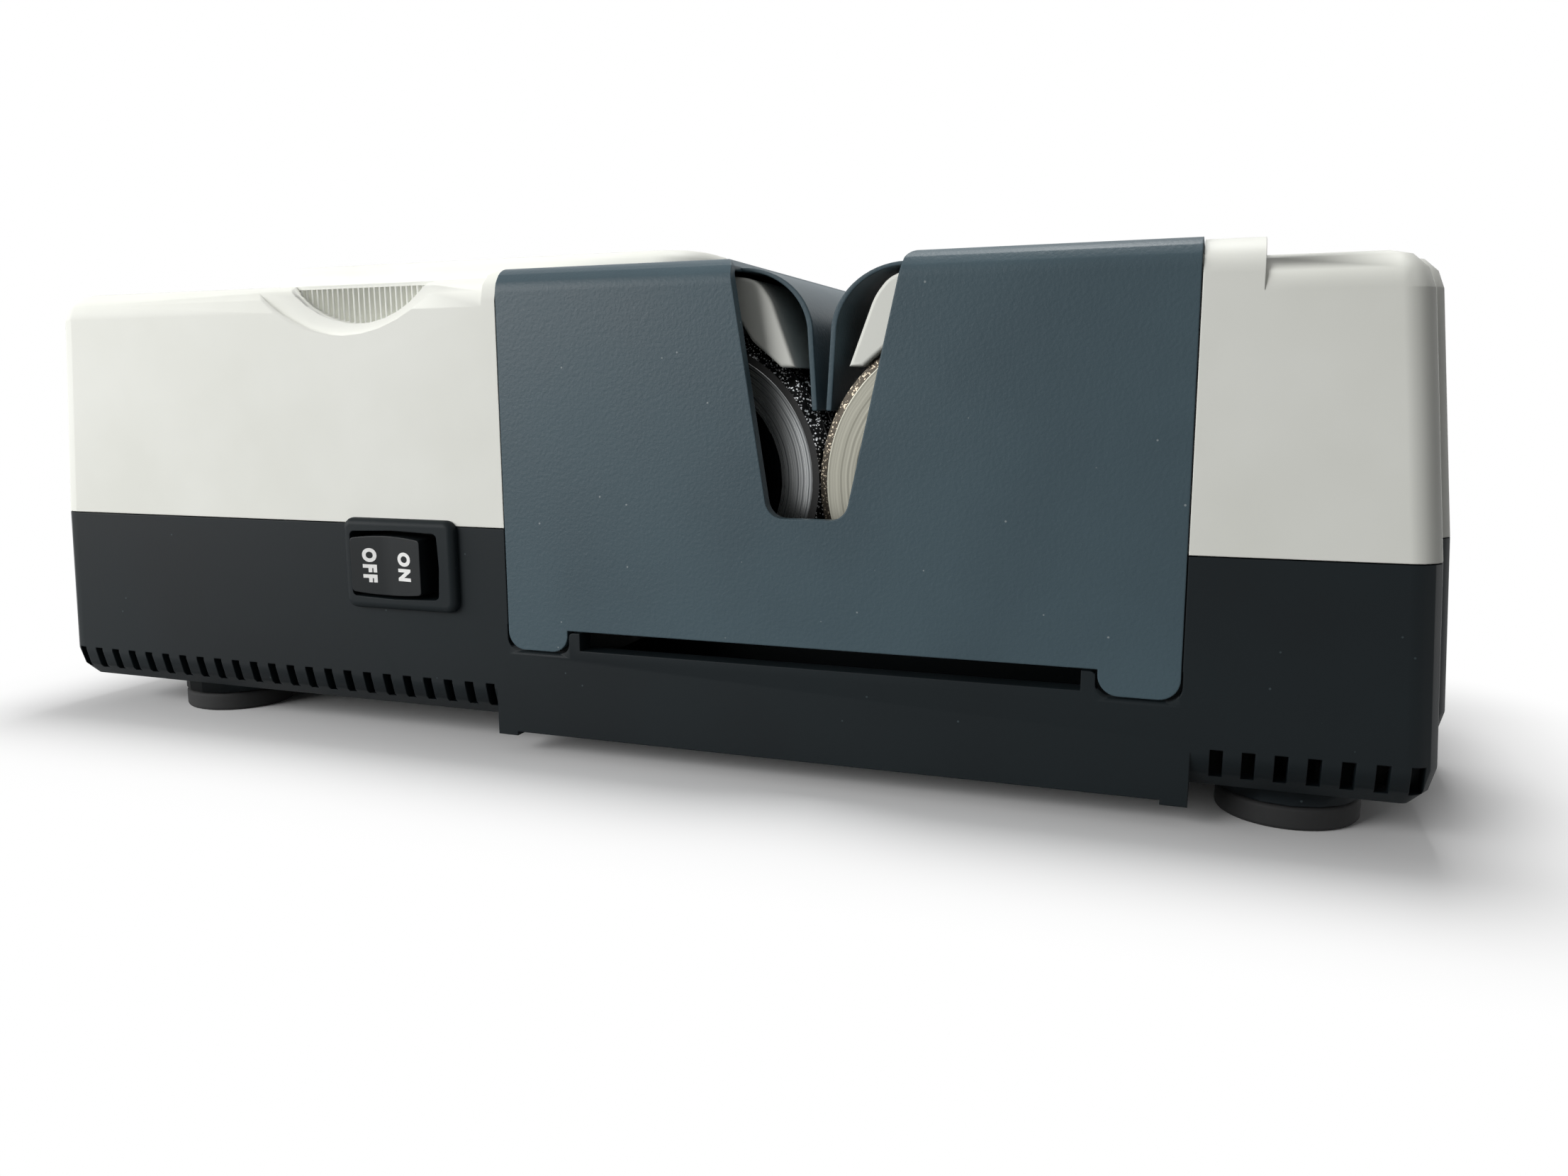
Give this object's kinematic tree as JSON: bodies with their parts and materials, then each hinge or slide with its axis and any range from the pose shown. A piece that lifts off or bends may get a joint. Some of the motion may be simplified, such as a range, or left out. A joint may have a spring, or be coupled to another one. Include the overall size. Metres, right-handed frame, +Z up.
{
  "type": "electric knife sharpener",
  "caption": "Long bench knife sharpener: a motor turns two stacks of grinding discs below a V-shaped blade guide in a lift-off cover, with a rocker switch.",
  "frame": {"origin": "on the floor, in the middle of the bounding box", "axes": "+X to the right along the body, +Y from the front to the back, +Z up"},
  "size_m": [0.3998, 0.1372, 0.139],
  "materials": {
    "white_plastic": "fine matte grain",
    "black_plastic": "fine matte grain",
    "slate_plastic": "fine matte grain",
    "rubber": "matte",
    "steel": "machined",
    "disc_steel": "turned face with a sparkling grit rim",
    "cast_bell": "as cast",
    "copper": "enamelled copper wire",
    "nylon": "natural nylon"
  },
  "bodies": {
    "body": {"lower_housing": "black_plastic", "upper_housing": "white_plastic", "left_wheel_hood": "white_plastic", "right_wheel_hood": "white_plastic", "switch_bezel": "black_plastic", "cord_gland": "rubber", "foot_front_left": "rubber", "foot_front_right": "rubber", "foot_rear_left": "rubber", "foot_rear_right": "rubber", "foot_screw_front_left": "steel", "foot_screw_front_right": "steel", "foot_screw_rear_left": "steel", "foot_screw_rear_right": "steel", "case_screw_front_left": "steel", "case_screw_front_right": "steel", "case_screw_rear_left": "steel", "case_screw_rear_right": "steel", "middle_bearing_plate": "steel", "rear_bearing_plate": "steel", "left_middle_bearing": "steel", "left_rear_bearing": "steel", "right_middle_bearing": "steel", "right_rear_bearing": "steel", "drive_belt": "rubber", "motor_stator_core": "steel", "motor_winding_front": "copper", "motor_winding_rear": "copper", "motor_front_bell": "cast_bell", "motor_rear_bell": "cast_bell", "motor_front_bearing": "steel", "motor_rear_bearing": "steel", "motor_cradle": "black_plastic", "run_capacitor": "nylon", "capacitor_clamp": "steel", "terminal_block": "nylon", "filings_tray": "black_plastic"},
    "motor_spindle": {"motor_rotor": "steel", "cooling_fan": "nylon", "drive_pulley": "nylon"},
    "left_spindle": {"left_wheel_shaft": "steel", "left_clamp_nut": "steel", "left_gear": "nylon", "driven_pulley": "nylon", "left_disc_1": "disc_steel", "left_disc_2": "disc_steel", "left_disc_3": "disc_steel", "left_disc_4": "disc_steel"},
    "right_spindle": {"right_wheel_shaft": "steel", "right_clamp_nut": "steel", "right_gear": "nylon", "right_disc_1": "disc_steel", "right_disc_2": "disc_steel", "right_disc_3": "disc_steel", "right_disc_4": "disc_steel"},
    "left_idler": {"left_idler_gear": "nylon"},
    "right_idler": {"right_idler_gear": "nylon"},
    "cover": {"guide_cover": "slate_plastic"},
    "rocker": {"switch_rocker": "black_plastic"}
  },
  "joints": [
    {"name": "motor_spin", "type": "hinge", "parent": "body", "child": "motor_spindle", "pos_m": [-0.09975, 0, 0.062], "axis": [0, 1, 0], "continuous": true},
    {"name": "left_spindle_spin", "type": "hinge", "parent": "body", "child": "left_spindle", "pos_m": [0.0135, 0, 0.076], "axis": [0, 1, 0], "continuous": true},
    {"name": "left_idler_spin", "type": "hinge", "parent": "body", "child": "left_idler", "pos_m": [0.03725, 0, 0.06117], "axis": [0, 1, 0], "continuous": true},
    {"name": "right_idler_spin", "type": "hinge", "parent": "body", "child": "right_idler", "pos_m": [0.06525, 0, 0.06117], "axis": [0, 1, 0], "continuous": true},
    {"name": "right_spindle_spin", "type": "hinge", "parent": "body", "child": "right_spindle", "pos_m": [0.089, 0, 0.076], "axis": [0, 1, 0], "continuous": true},
    {"name": "cover_lift", "type": "slide", "parent": "body", "child": "cover", "axis": [0, 0, 1], "range_m": [0, 0.115]},
    {"name": "rocker_tilt", "type": "hinge", "parent": "body", "child": "rocker", "pos_m": [-0.0645, -0.05956, 0.04925], "axis": [0, 0, 1], "range_deg": [0, 16]}
  ],
  "couplings": [
    {"joint": "left_spindle_spin", "follows": "motor_spin", "ratio": 0.5},
    {"joint": "left_idler_spin", "follows": "motor_spin", "ratio": -0.5},
    {"joint": "right_idler_spin", "follows": "motor_spin", "ratio": 0.5},
    {"joint": "right_spindle_spin", "follows": "motor_spin", "ratio": -0.5}
  ]
}
